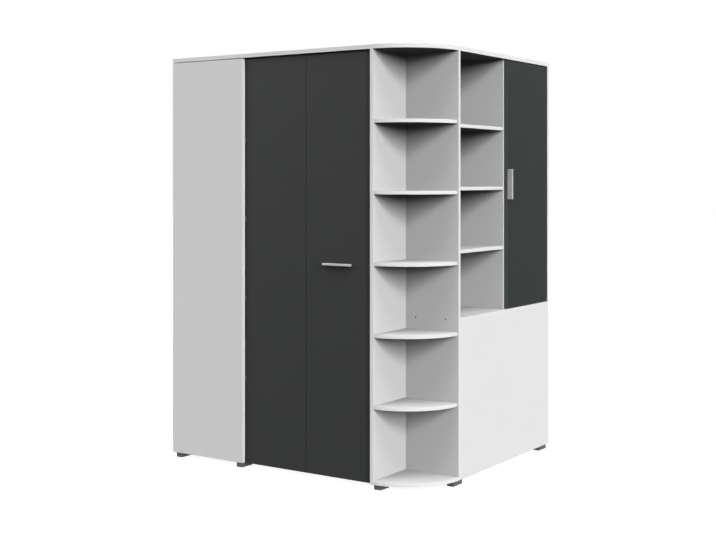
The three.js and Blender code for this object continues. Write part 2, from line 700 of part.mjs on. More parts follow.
function makeFeet() {
  const towerSide = xTowerPanel + FOOT_TOWER_SIDE_INSET;
  const rightSide = WIDTH - FOOT_RIGHT_INSET - FOOT_WIDTH;
  const yHiddenRear = DEPTH - FOOT_HIDDEN_INSET - FOOT_LENGTH;
  const places = {
    foot_front_left: [FOOT_SIDE_INSET, FOOT_FRONT_INSET],
    foot_front_stile: [FRONT_PANEL_WIDTH - FOOT_STILE_INSET - FOOT_WIDTH, FOOT_FRONT_INSET],
    foot_tower_front: [towerSide, FOOT_TOWER_FRONT_INSET],
    foot_tower_right: [rightSide, TOWER_RADIUS + (BOARD - FOOT_LENGTH) / 2],
    foot_right_rear: [rightSide, DEPTH - FOOT_REAR_INSET - FOOT_LENGTH],
    foot_left_rear: [FOOT_HIDDEN_INSET, yHiddenRear],
    foot_inner_rear: [xTowerPanel + FOOT_HIDDEN_INSET, yHiddenRear],
  };
  for (const [name, [x, y]] of Object.entries(places)) {
    addPart(name, footBody(), darkPlastic()).position.set(x + FOOT_WIDTH / 2, y + FOOT_LENGTH / 2, 0);
  }
}

makeTopBoard();
makeLeftSide();
makeColumn();
makeTower();
makeLowerSection();
makeUpperSection();
makeBackSheet();
makeHinges();
makeLeaves();
makeCupboardDoor();
makeFoldHinge();
makeGuide();
makeTrack();
makeHandles();
makeRail();
makeFeet();

// The handles stand out past the carcass on two sides, so they count in the box

const yLowest = Math.min(0, LEAF_RECESS - HANDLE_PROJECTION);
wardrobe.position.set(-(WIDTH + HANDLE_PROJECTION) / 2, -(DEPTH + yLowest) / 2, 0);

export default wardrobe;
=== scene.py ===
# Dresses a walk-in corner wardrobe: small fittings, finishes, floor, light and camera.
# The boards, hinges, rail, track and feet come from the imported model, and keep their shapes and places.

import json
import math

import bmesh
import bpy
import numpy as np
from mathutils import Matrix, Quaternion, Vector


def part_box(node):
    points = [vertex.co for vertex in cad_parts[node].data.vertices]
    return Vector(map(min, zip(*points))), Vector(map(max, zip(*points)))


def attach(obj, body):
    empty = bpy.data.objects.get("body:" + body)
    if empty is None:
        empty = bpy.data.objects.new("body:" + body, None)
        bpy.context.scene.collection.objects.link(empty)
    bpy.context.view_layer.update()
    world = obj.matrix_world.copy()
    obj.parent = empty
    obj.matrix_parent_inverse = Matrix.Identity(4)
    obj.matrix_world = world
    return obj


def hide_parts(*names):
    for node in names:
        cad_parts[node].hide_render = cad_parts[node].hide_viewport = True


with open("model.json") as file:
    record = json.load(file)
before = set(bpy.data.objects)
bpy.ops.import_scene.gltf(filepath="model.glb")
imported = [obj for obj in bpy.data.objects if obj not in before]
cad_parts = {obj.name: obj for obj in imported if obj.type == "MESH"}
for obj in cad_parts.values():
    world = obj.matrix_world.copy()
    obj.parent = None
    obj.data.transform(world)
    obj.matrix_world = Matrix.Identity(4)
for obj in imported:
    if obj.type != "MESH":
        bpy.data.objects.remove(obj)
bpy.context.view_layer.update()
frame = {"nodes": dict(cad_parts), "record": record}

bl_info = {
    "name": "Corner wardrobe",
    "version": (1, 0, 0),
    "blender": (4, 5, 0),
    "location": "View3D > Sidebar > Wardrobe",
    "description": "Dresses a corner wardrobe with its fittings, finishes, light and camera",
    "category": "Object",
}

MM = 0.001

# The wardrobe's front looks along -y, and its right side along +x
LEFT, RIGHT, FRONT, BACK, UP = (-1, 0, 0), (1, 0, 0), (0, -1, 0), (0, 1, 0), (0, 0, 1)


def srgb(code):
    """A hex colour as linear red, green and blue: the sRGB curve undone channel by channel."""
    channels = np.array([int(code[i:i + 2], 16) for i in (1, 3, 5)]) / 255
    return tuple(np.where(channels <= 0.04045, channels / 12.92, ((channels + 0.055) / 1.055) ** 2.4))


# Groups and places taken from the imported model

def nodes_in(slot):
    """The nodes that the record gives a material slot."""
    return [row["node"] for row in frame["record"]["subparts"] if row["material_slot"] == slot]


def middle(node):
    """The middle of a node's box."""
    low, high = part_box(node)
    return (low + high) / 2


def thin_axis(node):
    """The axis, 0 to 2, along which a board is thinnest."""
    low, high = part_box(node)
    return int(np.argmin(high - low))


# Sizes and colours that a user would change

class BoardSettings(bpy.types.PropertyGroup):
    """Finish of the boards and of the back sheet."""

    white: bpy.props.FloatVectorProperty(
        name="White", description="White decor of the carcass", subtype="COLOR", size=3,
        min=0, max=1, default=srgb("#E9E9E9"))
    # A shade brighter than the decor: partly the band's own tone, partly painted sheen for the gloss of its ABS
    white_band_and_sheen: bpy.props.FloatVectorProperty(
        name="White band", description="Edge banding of the white boards", subtype="COLOR", size=3,
        min=0, max=1, default=srgb("#EDEDED"))
    anthracite: bpy.props.FloatVectorProperty(
        name="Anthracite", description="Dark decor of the folding door", subtype="COLOR", size=3,
        min=0, max=1, default=srgb("#353736"))
    # Darker than the decor: painted shade, which darkens the gaps at the fold and the jamb of the folding door
    leaf_band_painted_gap_shade: bpy.props.FloatVectorProperty(
        name="Leaf band", description="Edge banding of the folding door", subtype="COLOR", size=3,
        min=0, max=1, default=srgb("#232524"))
    small_anthracite: bpy.props.FloatVectorProperty(
        name="Small door decor", description="Dark decor of the small door", subtype="COLOR", size=3,
        min=0, max=1, default=srgb("#343937"))
    # Much lighter than the decor: a painted highlight for the light that the small door's rounded front edge
    # catches
    small_band_painted_highlight: bpy.props.FloatVectorProperty(
        name="Small door band", description="Edge banding of the small door", subtype="COLOR", size=3,
        min=0, max=1, default=srgb("#5F6563"))
    edge: bpy.props.FloatProperty(
        name="Edge radius", description="Radius of the edge banding", subtype="DISTANCE",
        min=0.1 * MM, max=2 * MM, default=0.7 * MM)
    sheet_paint: bpy.props.FloatVectorProperty(
        name="Sheet paint", description="Painted side of the back sheet", subtype="COLOR", size=3,
        min=0, max=1, default=srgb("#E4E3E0"))
    sheet_fibre: bpy.props.FloatVectorProperty(
        name="Sheet fibre", description="Raw side of the back sheet", subtype="COLOR", size=3,
        min=0, max=1, default=srgb("#A98A66"))


class FittingSettings(bpy.types.PropertyGroup):
    """Metal and plastic of the small fittings."""

    aluminium: bpy.props.FloatVectorProperty(
        name="Aluminium", description="Aluminium-coloured lacquer of the handles", subtype="COLOR", size=3,
        min=0, max=1, default=srgb("#C4C6C6"))
    steel: bpy.props.FloatVectorProperty(
        name="Steel", description="Zinc-plated steel of the hinges and screws", subtype="COLOR", size=3,
        min=0, max=1, default=srgb("#B4B7BA"))
    chrome: bpy.props.FloatVectorProperty(
        name="Chrome", description="Chromed steel of the clothes rail", subtype="COLOR", size=3,
        min=0, max=1, default=srgb("#DFE1E3"))
    nylon: bpy.props.FloatVectorProperty(
        name="Nylon", description="Nylon of the track, the guide pin and the rail's sockets", subtype="COLOR",
        size=3, min=0, max=1, default=srgb("#8E9193"))
    # On the tower's screw caps this dark colour is painted shade in the screw seats; on the feet it is their own
    # colour
    polypropylene: bpy.props.FloatVectorProperty(
        name="Polypropylene", description="Polypropylene of the feet and screw caps", subtype="COLOR", size=3,
        min=0, max=1, default=srgb("#535557"))
    polystyrene: bpy.props.FloatVectorProperty(
        name="Polystyrene", description="Polystyrene of the back sheet's strip and clips", subtype="COLOR",
        size=3, min=0, max=1, default=srgb("#DADAD6"))
    polyurethane: bpy.props.FloatVectorProperty(
        name="Polyurethane", description="Soft polyurethane of the small door's buffers", subtype="COLOR",
        size=3, min=0, max=1, default=srgb("#C9CCC8"))
    screw_radius: bpy.props.FloatProperty(
        name="Screw head", description="Radius of a screw head", subtype="DISTANCE",
        min=1 * MM, max=6 * MM, default=3.2 * MM)
    screw_spacing: bpy.props.FloatProperty(
        name="Screw spacing", description="Distance between the two screws of a handle", subtype="DISTANCE",
        min=32 * MM, max=320 * MM, default=128 * MM)


class StageSettings(bpy.types.PropertyGroup):
    """Floor, light and camera."""

    focal: bpy.props.FloatProperty(
        name="Focal length", description="Lens of the camera", subtype="DISTANCE_CAMERA",
        min=10, max=200, default=61.24)
    key: bpy.props.FloatProperty(
        name="Right light", description="Strength of the broad low light from the right front",
        min=0, max=20, default=1.92)
    crisp: bpy.props.FloatProperty(
        name="Upper right light", description="Strength of the narrow light above it, which draws the shadows",
        min=0, max=20, default=0.905)
    top: bpy.props.FloatProperty(
        name="High light", description="Strength of the high light over the right side",
        min=0, max=20, default=1.12)
    front: bpy.props.FloatProperty(
        name="Front light", description="Strength of the high light over the front",
        min=0, max=20, default=1.18)
    left: bpy.props.FloatProperty(
        name="Left light", description="Strength of the low light from the left front",
        min=0, max=20, default=0.41)
    right_rear: bpy.props.FloatProperty(
        name="Right rear light", description="Strength of the low light that grazes the right side from behind",
        min=0, max=20, default=0.43)
    rear: bpy.props.FloatProperty(
        name="Rear lights", description="Strength of the two lights behind, which the photo's side doesn't see",
        min=0, max=20, default=1.4)
    inside: bpy.props.FloatProperty(
        name="Inside light", description="Power of the light in the walk-in space",
        subtype="POWER", min=0, max=100, default=4)
    ambient: bpy.props.FloatProperty(
        name="Ambient", description="Strength of the soft light that comes from everywhere",
        subtype="FACTOR", min=0, max=1, default=0.02)
    card: bpy.props.FloatProperty(
        name="Card", description="Strength of a reflector card that shows only as gloss",
        min=0, max=20, default=1.3)


# Materials

# Inputs of a Mix node for colours: its share, and the two colours
SHARE, FIRST, SECOND = 0, 6, 7


def add_node(tree, kind, inputs=None, **settings):
    """Adds a node, sets its properties, and sets or links its inputs. A node given as an input links the first of
    its outputs that is in use."""
    made = tree.nodes.new(kind)
    for name, value in settings.items():
        setattr(made, name, value)
    for name, value in (inputs or {}).items():
        if isinstance(value, bpy.types.Node):
            value = next(output for output in value.outputs if output.enabled)
        if isinstance(value, bpy.types.NodeSocket):
            tree.links.new(value, made.inputs[name])
        else:
            made.inputs[name].default_value = value
    return made


def new_material(name):
    """The empty node tree of a new material."""
    made = bpy.data.materials.new(name)
    made.use_nodes = True
    made.node_tree.nodes.clear()
    return made.node_tree


def tones(colour, pattern, depth):
    """Inputs that let a pattern from 0 to 1 darken a colour, by a share of depth at most."""
    darker = tuple(c * (1 - depth) for c in colour)
    return {SHARE: pattern, FIRST: (*colour, 1), SECOND: (*darker, 1)}


def normal_along(tree, axis):
    """How far a face looks along an axis of its own piece, from -1 to 1."""
    world = add_node(tree, "ShaderNodeNewGeometry").outputs["Normal"]
    normal = add_node(tree, "ShaderNodeVectorTransform", {"Vector": world},
                      vector_type="NORMAL", convert_from="WORLD", convert_to="OBJECT")
    return add_node(tree, "ShaderNodeSeparateXYZ", {"Vector": normal}).outputs[axis]


def melamine(name, colour, band_and_painted_light, axis, rough, shine):
    """Melamine-faced chipboard with ABS edge banding: on the two faces that look along an axis an even matt decor,
    with a pearl emboss that breaks up its gloss, and smoother bands on the narrow sides. The band's colour also
    carries painted light: a little painted sheen on the white boards, painted shade in the folding door's gaps and
    a painted highlight on the small door's edge."""
    tree = new_material(name)
    place = add_node(tree, "ShaderNodeTexCoord").outputs["Object"]
    # Pearl emboss is about 0.4 mm on the real board, drawn at 1.5 mm so that it shows
    pearl = add_node(tree, "ShaderNodeTexNoise", {"Vector": place, "Scale": 1 / (1.5 * MM), "Detail": 2.0})
    # Clouds of 160 mm stand for the uneven pressure of the press
    cloud = add_node(tree, "ShaderNodeTexNoise", {"Vector": place, "Scale": 1 / (160 * MM), "Detail": 3.0})
    face = add_node(tree, "ShaderNodeMath", {0: normal_along(tree, axis)}, operation="ABSOLUTE")
    # The band, with the painted light in its colour, goes over to the decor on the rounded edge between them
    surface = add_node(tree, "ShaderNodeMix", {
        SHARE: add_node(tree, "ShaderNodeMapRange", {"Value": face, "From Min": 0.6, "From Max": 0.9}),
        FIRST: add_node(tree, "ShaderNodeMix", tones(band_and_painted_light, pearl, 0.02), data_type="RGBA"),
        SECOND: add_node(tree, "ShaderNodeMix", tones(colour, cloud, 0.02), data_type="RGBA"),
    }, data_type="RGBA")
    broad = add_node(tree, "ShaderNodeMapRange", {"Value": cloud, "To Min": rough - 0.04, "To Max": rough + 0.05})
    fine = add_node(tree, "ShaderNodeMapRange", {"Value": pearl, "To Min": -0.03, "To Max": 0.03})
    emboss = add_node(tree, "ShaderNodeMath", {0: pearl, 1: face}, operation="MULTIPLY")
    shader = add_node(tree, "ShaderNodeBsdfPrincipled", {
        "Base Color": surface,
        "Roughness": add_node(tree, "ShaderNodeMath", {0: broad, 1: fine}, operation="ADD"),
        "Specular IOR Level": shine,
        "Normal": add_node(tree, "ShaderNodeBump", {"Height": emboss, "Strength": 0.12, "Distance": 0.1 * MM}),
    })
    add_node(tree, "ShaderNodeOutputMaterial", {"Surface": shader})


def hardboard(paint, raw):
    """Thin hardboard: pressed wood fibre, painted towards the room and raw, brown and flecked on the back."""
    tree = new_material("painted_hardboard")
    place = add_node(tree, "ShaderNodeTexCoord").outputs["Object"]
    # Fibre bundles are about 3 mm long, and the paint's clouds about 90 mm
    fibre = add_node(tree, "ShaderNodeTexNoise", {"Vector": place, "Scale": 1 / (3 * MM), "Detail": 6.0})
    cloud = add_node(tree, "ShaderNodeTexNoise", {"Vector": place, "Scale": 1 / (90 * MM), "Detail": 4.0})
    y_axis = 1
    back = {"Value": normal_along(tree, y_axis), "From Min": 0.2, "From Max": 0.6}
    surface = add_node(tree, "ShaderNodeMix", {
        SHARE: add_node(tree, "ShaderNodeMapRange", back),
        FIRST: add_node(tree, "ShaderNodeMix", tones(paint, cloud, 0.03), data_type="RGBA"),
        SECOND: add_node(tree, "ShaderNodeMix", tones(raw, fibre, 0.35), data_type="RGBA"),
    }, data_type="RGBA")
    shader = add_node(tree, "ShaderNodeBsdfPrincipled", {
        "Base Color": surface,
        "Roughness": add_node(tree, "ShaderNodeMapRange", {"Value": fibre, "To Min": 0.6, "To Max": 0.8}),
        "Specular IOR Level": 0.2,
        "Normal": add_node(tree, "ShaderNodeBump", {"Height": fibre, "Strength": 0.25, "Distance": 0.2 * MM}),
    })
    add_node(tree, "ShaderNodeOutputMaterial", {"Surface": shader})


def aluminium_lacquer(colour):
    """Aluminium-coloured lacquer sprayed on die-cast zinc: matt and pale, with a little metal in it and faint
    streaks along the bar from the polishing under it."""
    tree = new_material("aluminium_lacquer")
    uv = add_node(tree, "ShaderNodeTexCoord").outputs["UV"]
    # A streak is about 40 mm long and 0.3 mm wide
    long = add_node(tree, "ShaderNodeMapping", {"Vector": uv, "Scale": (1 / (40 * MM), 1 / (0.3 * MM), 1)})
    streaks = add_node(tree, "ShaderNodeTexNoise", {"Vector": long, "Scale": 1.0, "Detail": 3.0})
    shader = add_node(tree, "ShaderNodeBsdfPrincipled", {
        "Base Color": add_node(tree, "ShaderNodeMix", tones(colour, streaks, 0.08), data_type="RGBA"),
        "Metallic": 0.05,
        "Roughness": add_node(tree, "ShaderNodeMapRange", {"Value": streaks, "To Min": 0.68, "To Max": 0.8}),
        "Specular IOR Level": 0.1,
        "Normal": add_node(tree, "ShaderNodeBump", {"Height": streaks, "Strength": 0.2, "Distance": 0.05 * MM}),
    })
    add_node(tree, "ShaderNodeOutputMaterial", {"Surface": shader})


def zinc_plate(colour):
    """Zinc-plated pressed steel: bright, with a faint cloudy spangle and small differences in gloss."""
    tree = new_material("zinc_plated_steel")
    place = add_node(tree, "ShaderNodeTexCoord").outputs["Object"]
    # Spangle cells are about 4 mm across, and the clouds about 12 mm
    spangle = add_node(tree, "ShaderNodeTexVoronoi", {"Vector": place, "Scale": 1 / (4 * MM)})
    cloud = add_node(tree, "ShaderNodeTexNoise", {"Vector": place, "Scale": 1 / (12 * MM), "Detail": 4.0})
    shader = add_node(tree, "ShaderNodeBsdfPrincipled", {
        "Base Color": add_node(tree, "ShaderNodeMix", tones(colour, spangle, 0.2), data_type="RGBA"),
        "Metallic": 1.0,
        "Roughness": add_node(tree, "ShaderNodeMapRange", {"Value": cloud, "To Min": 0.25, "To Max": 0.45}),
    })
    add_node(tree, "ShaderNodeOutputMaterial", {"Surface": shader})


def chromed_tube(colour):
    """Chromium-plated steel tube: a mirror with faint smears from handling."""
    tree = new_material("chromed_steel")
    place = add_node(tree, "ShaderNodeTexCoord").outputs["Object"]
    # A smear is about 60 mm long
    smear = add_node(tree, "ShaderNodeTexNoise", {"Vector": place, "Scale": 1 / (60 * MM), "Detail": 5.0})
    shader = add_node(tree, "ShaderNodeBsdfPrincipled", {
        "Base Color": add_node(tree, "ShaderNodeMix", tones(colour, smear, 0.05), data_type="RGBA"),
        "Metallic": 1.0,
        "Roughness": add_node(tree, "ShaderNodeMapRange", {"Value": smear, "To Min": 0.05, "To Max": 0.16}),
    })
    add_node(tree, "ShaderNodeOutputMaterial", {"Surface": shader})


def moulded_plastic(name, colour, rough):
    """Injection-moulded plastic: an even colour under the satin grain of a spark-eroded mould."""
    tree = new_material(name)
    place = add_node(tree, "ShaderNodeTexCoord").outputs["Object"]
    # The grain is about 0.1 mm on the real part, drawn at 0.8 mm so that it shows
    grain = add_node(tree, "ShaderNodeTexNoise", {"Vector": place, "Scale": 1 / (0.8 * MM), "Detail": 2.0})
    # Flow marks in the colour are about 20 mm across
    cloud = add_node(tree, "ShaderNodeTexNoise", {"Vector": place, "Scale": 1 / (20 * MM), "Detail": 2.0})
    spread = {"Value": grain, "To Min": rough - 0.06, "To Max": rough + 0.06}
    shader = add_node(tree, "ShaderNodeBsdfPrincipled", {
        "Base Color": add_node(tree, "ShaderNodeMix", tones(colour, cloud, 0.08), data_type="RGBA"),
        "Roughness": add_node(tree, "ShaderNodeMapRange", spread),
        "Normal": add_node(tree, "ShaderNodeBump", {"Height": grain, "Strength": 0.3, "Distance": 0.1 * MM}),
    })
    add_node(tree, "ShaderNodeOutputMaterial", {"Surface": shader})


def seen_directly(tree):
    """1 for rays from the camera and for the reflections that it sees, 0 for light that a matt surface gathers."""
    rays = add_node(tree, "ShaderNodeLightPath").outputs
    shiny = add_node(tree, "ShaderNodeMath", {
        0: rays["Is Camera Ray"], 1: rays["Is Glossy Ray"],
    }, operation="MAXIMUM")
    clear = add_node(tree, "ShaderNodeMath", {0: shiny, 1: rays["Is Transmission Ray"]}, operation="MAXIMUM")
    first = add_node(tree, "ShaderNodeMath", {0: rays["Diffuse Depth"], 1: 0.5}, operation="LESS_THAN")
    return add_node(tree, "ShaderNodeMath", {0: clear, 1: first}, operation="MULTIPLY")


def pale_floor(ambient):
    """Studio paper: the camera and reflections see it white, with the soft shadow of what stands on it, and
    matt surfaces get only the ambient light from it."""
    tree = new_material("pale_floor")
    # The glow alone is just under white, so that a shadow on the paper shows but stays pale
    paper = add_node(tree, "ShaderNodeBsdfDiffuse", {"Color": (0.3, 0.3, 0.3, 1)})
    glow = add_node(tree, "ShaderNodeEmission", {"Color": (1, 1, 1, 1), "Strength": 0.94})
    white = add_node(tree, "ShaderNodeAddShader", {0: paper, 1: glow})
    soft = add_node(tree, "ShaderNodeEmission", {"Color": (1, 1, 1, 1), "Strength": ambient})
    floor = add_node(tree, "ShaderNodeMixShader", {0: seen_directly(tree), 1: soft, 2: white})
    add_node(tree, "ShaderNodeOutputMaterial", {"Surface": floor})


# Shapes of the small fittings, as grids of points: rings, each drawn as (across, up, out)

def handle_rings(length, width, depth):
    """A bar with a finger hollow, as rings along its length, and its UV in metres along and round it. A ring goes
    round the foot, the pocket in the lower side, the quarter circles of the two front edges and the top. The
    pocket's depth goes from nothing in the end blocks to its whole on 3s² - 2s³, and the bar's ends shrink on a
    quarter circle."""
    edge = 2.5 * MM  # radius of the front edges
    end_block, blend = 12 * MM, 3 * MM  # solid length at each end, and the length on which the pocket starts
    lip, web = 3.5 * MM, 2.5 * MM  # walls before and behind the pocket, and over it
    crown = 1.2 * MM  # radius of the two ends
    half = width / 2
    turn = np.linspace(0, math.pi / 2, 7)
    foot = np.array([[0, 0], [0, -half], [lip / 2, -half]])
    low_edge = np.stack([depth - edge + edge * np.sin(turn), -half + edge - edge * np.cos(turn)], -1)
    high_edge = np.stack([depth - edge + edge * np.cos(turn), half - edge + edge * np.sin(turn)], -1)
    top = np.stack([np.linspace(depth - edge, 0, 9)[1:], np.full(8, half)], -1)
    # The pocket's outline: how deep each point stands in it, and how far out
    share = np.concatenate([[0, 0], np.linspace(0, 1, 6), np.ones(8), np.linspace(1, 0, 6), [0]])
    across = np.concatenate([
        [lip * 0.8, lip * 0.95], np.full(6, lip), np.linspace(lip, depth - lip, 10)[1:-1],
        np.full(6, depth - lip), [depth - lip * 0.95]])
    # Rings stand close together where the ends turn and where the pocket starts
    ends = np.concatenate([[0, 0.15, 0.5, 1], [2, 6], np.linspace(9, 16, 12)]) * MM
    station = np.concatenate([
        ends - length / 2, np.linspace(-0.35, 0.35, 9) * length, length / 2 - ends[::-1]])
    inward = length / 2 - np.abs(station)
    opened = np.clip((inward - end_block) / blend + 0.5, 0, 1)
    pocket = (width - web) * opened ** 2 * (3 - 2 * opened)
    hollow = np.stack(np.broadcast_arrays(across[None], -half + share[None] * pocket[:, None]), -1)
    before = np.broadcast_to(foot, (len(station), *foot.shape))
    outside = np.concatenate([low_edge, high_edge, top])
    after = np.broadcast_to(outside, (len(station), *outside.shape))
    ring = np.concatenate([before, hollow, after], axis=1)
    inset = crown - np.sqrt(np.maximum(crown ** 2 - np.maximum(crown - inward, 0) ** 2, 0))
    out = np.minimum(ring[..., 0], depth - inset[:, None])
    up = np.clip(ring[..., 1], -half + inset[:, None], half - inset[:, None])
    along = np.broadcast_to(station[:, None], out.shape)
    steps = np.hypot(np.diff(out, axis=1, append=out[:, :1]), np.diff(up, axis=1, append=up[:, :1]))
    girth = np.concatenate([np.zeros((len(station), 1)), np.cumsum(steps, axis=1)[:, :-1]], axis=1)
    return np.stack([along, up, out], -1), np.stack([along, girth], -1)


def screw_rings(radius, rise):
    """A screw head as rings from its rim to its middle: a low dome that rises by a share of its radius, less a
    cross recess that is deepest where either of its two slots crosses the middle."""
    slot_half, slot_reach = 0.16, 0.55  # shares of the radius
    slot_depth = 0.6  # share of the rise
    around = np.linspace(0, 2 * math.pi, 32, endpoint=False)
    share = np.array([1, 1, 0.96, 0.86, 0.7, 0.55, 0.4, 0.28, 0.16, 0.05])
    height = np.array([-0.05, 0.4, 0.6, 0.75, 0.87, 0.93, 0.97, 0.98, 1, 1]) * rise * radius
    r, a = np.meshgrid(share * radius, around, indexing="ij")
    x, y = r * np.cos(a), r * np.sin(a)
    beside = np.minimum(np.abs(x), np.abs(y)) / (slot_half * radius)
    reach = np.maximum(np.abs(x), np.abs(y)) / (slot_reach * radius)
    # Full depth within 0.6 of a slot's half width, none beyond 1.6 of it, and the ends run out over a third
    slot = np.clip(1.6 - beside, 0, 1) * np.clip((1 - reach) * 3, 0, 1)
    return np.stack([x, y, height[:, None] - slot_depth * rise * radius * slot], -1)


def pin_rings():
    """A steel shelf pin as rings along its axis, each a circle with its radius from a profile: a groove near the
    wall, and a rounded nose."""
    along = np.array([0, 0, 0.9, 1.1, 1.7, 1.9, 6, 6.4, 6.8, 7, 7]) * MM
    radius = np.array([0.3, 2.5, 2.5, 2.1, 2.1, 2.5, 2.5, 2.4, 2, 1.6, 0.3]) * MM
    around = np.linspace(0, 2 * math.pi, 24, endpoint=False)
    across, up = radius[:, None] * np.cos(around), radius[:, None] * np.sin(around)
    return np.stack([across, up, np.broadcast_to(along[:, None], across.shape)], -1)


def superellipse(power, count):
    """Points round a unit superellipse: cosine and sine, each raised to two over the power with its sign kept."""
    around = np.linspace(0, 2 * math.pi, count, endpoint=False)
    both = np.stack([np.cos(around), np.sin(around)], -1)
    return np.sign(both) * np.abs(both) ** (2 / power)


def boss_rings(width, length, height, rim, power):
    """A low boss as rings from its foot to its middle: the outline is a superellipse, the side goes straight up,
    turns inward on a quarter circle of the rim's radius, and the top closes flat."""
    turn = np.linspace(0, math.pi / 2, 5)
    # The foot starts a little inside what it stands on, and three more rings close the top
    out = np.concatenate([[-0.1 * rim], height - rim + rim * np.sin(turn), np.full(3, height)])
    inset = np.concatenate([[0], rim * (1 - np.cos(turn)), np.full(3, rim)])
    scale = np.concatenate([np.ones(6), [0.6, 0.3, 0.05]])
    outline = superellipse(power, count=32)
    across = ((width / 2 - inset) * scale)[:, None] * outline[:, 0]
    up = ((length / 2 - inset) * scale)[:, None] * outline[:, 1]
    return np.stack([across, up, np.broadcast_to(out[:, None], across.shape)], -1)


def strip_rings(width, thickness, length):
    """A flat strip as rings along its length: the section is a superellipse, so its wide faces are nearly flat,
    and it shrinks on a quarter circle over the last millimetre of each end."""
    turn = np.linspace(0, math.pi / 2, 5)
    end = 1 * MM
    inset = np.concatenate([end * (1 - np.sin(turn)), end * (1 - np.sin(turn[::-1]))])
    along = np.concatenate([end * (1 - np.cos(turn)), length - end * (1 - np.cos(turn[::-1]))])
    outline = superellipse(power=6, count=40)
    across = (width / 2 - inset)[:, None] * outline[:, 0]
    up = (thickness / 2 - inset)[:, None] * outline[:, 1]
    return np.stack([across, up, np.broadcast_to(along[:, None], across.shape)], -1)


# Pieces from those grids, and nodes of the model

def ring_faces(rows, columns):
    """The quads that join each ring of a grid to the next, and the two end rings as closing faces."""
    i, j = np.meshgrid(np.arange(rows - 1), np.arange(columns), indexing="ij")
    beside = (j + 1) % columns
    corners = [i * columns + j, i * columns + beside, (i + 1) * columns + beside, (i + 1) * columns + j]
    return np.stack(corners, axis=-1).reshape(-1, 4), np.arange(rows * columns).reshape(rows, columns)[[0, -1]]


def add_piece(name, rings, places, body, finish, uv=None, sharp=40):
    """One piece of like shapes, one at each place, which gives its origin, its outward and its upward direction.
    Across is the cross product of up and out, and a point is the origin plus its three shares of these. The piece
    is shaded smooth, with a sharp edge where two faces meet at more than an angle in degrees. It rides on its
    body, and has its finish."""
    rows, columns = rings.shape[:2]
    quads, ends = ring_faces(rows, columns)
    points, polygons = [], []
    for number, (origin, out, up) in enumerate(places):
        out, up = Vector(out).normalized(), Vector(up).normalized()
        axes = np.array([up.cross(out), up, out], float)
        points.append(rings.reshape(-1, 3) @ axes + np.array(origin, float))
        first = number * rows * columns
        polygons += (quads + first).tolist() + (ends + first).tolist()
    mesh = bpy.data.meshes.new(name)
    mesh.from_pydata(np.concatenate(points).tolist(), [], polygons)
    if uv is not None:
        corners = np.empty(len(mesh.loops), int)
        mesh.loops.foreach_get("vertex_index", corners)
        layer = mesh.uv_layers.new(name="UVMap")
        layer.data.foreach_set("uv", uv.reshape(-1, 2)[corners % (rows * columns)].ravel())
    shape = bmesh.new()
    shape.from_mesh(mesh)
    bmesh.ops.recalc_face_normals(shape, faces=shape.faces)
    shape.to_mesh(mesh)
    shape.free()
    mesh.polygons.foreach_set("use_smooth", [True] * len(mesh.polygons))
    mesh.set_sharp_from_angle(angle=math.radians(sharp))
    mesh.materials.append(bpy.data.materials[finish])
    piece = bpy.data.objects.new(name, mesh)
    bpy.context.scene.collection.objects.link(piece)
    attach(piece, body)
    return piece


def add_screws(name, spots, out, body, rise=0.6):
    """Screw heads at spots that face one way, each turned a little further than the one before."""
    first_turn, next_turn = 0.4, 1.1
    out = Vector(out)
    rings = screw_rings(bpy.context.scene.wardrobe_fittings.screw_radius, rise)
    places = [
        (spot, out, Quaternion(out, first_turn + next_turn * k) @ out.orthogonal())
        for k, spot in enumerate(spots)]
    add_piece(name, rings, places, body, "zinc_plated_steel")


def smoothing_group():
    """A node group that shades faces smooth and leaves an edge sharp where its faces meet at over 30 degrees."""
    if "smooth_by_angle" in bpy.data.node_groups:
        return bpy.data.node_groups["smooth_by_angle"]
    tree = bpy.data.node_groups.new("smooth_by_angle", "GeometryNodeTree")
    tree.interface.new_socket("Geometry", in_out="INPUT", socket_type="NodeSocketGeometry")
    tree.interface.new_socket("Geometry", in_out="OUTPUT", socket_type="NodeSocketGeometry")
    start = add_node(tree, "NodeGroupInput")
    angle = add_node(tree, "GeometryNodeInputMeshEdgeAngle")
    gentle = add_node(tree, "FunctionNodeCompare", {0: angle, 1: math.radians(30)}, operation="LESS_THAN")
    faces = add_node(tree, "GeometryNodeSetShadeSmooth", {0: start, 2: True}, domain="FACE")
    edges = add_node(tree, "GeometryNodeSetShadeSmooth", {0: faces, 2: gentle}, domain="EDGE")
    add_node(tree, "NodeGroupOutput", {0: edges})
    return tree


def soften(node, width):
    """Joins a node's loose triangles, rounds its sharp edges by a width if it has one, and shades it smooth."""
    same_place, edge_angle = 0.01 * MM, math.radians(40)
    weld = node.modifiers.new("join", "WELD")
    weld.merge_threshold = same_place
    if width:
        bevel = node.modifiers.new("edge", "BEVEL")
        bevel.width = width
        bevel.segments = 3
        bevel.limit_method = "ANGLE"
        bevel.angle_limit = edge_angle
    shade = node.modifiers.new("shade", "NODES")
    shade.node_group = smoothing_group()
    flat = node.modifiers.new("flat", "WEIGHTED_NORMAL")
    flat.keep_sharp = True


def dress(name, finish):
    """Gives a node of the model its finish."""
    node = frame["nodes"][name]
    node.data.materials.clear()
    node.data.materials.append(bpy.data.materials[finish])
    return node


# Operators, one for each group of like pieces

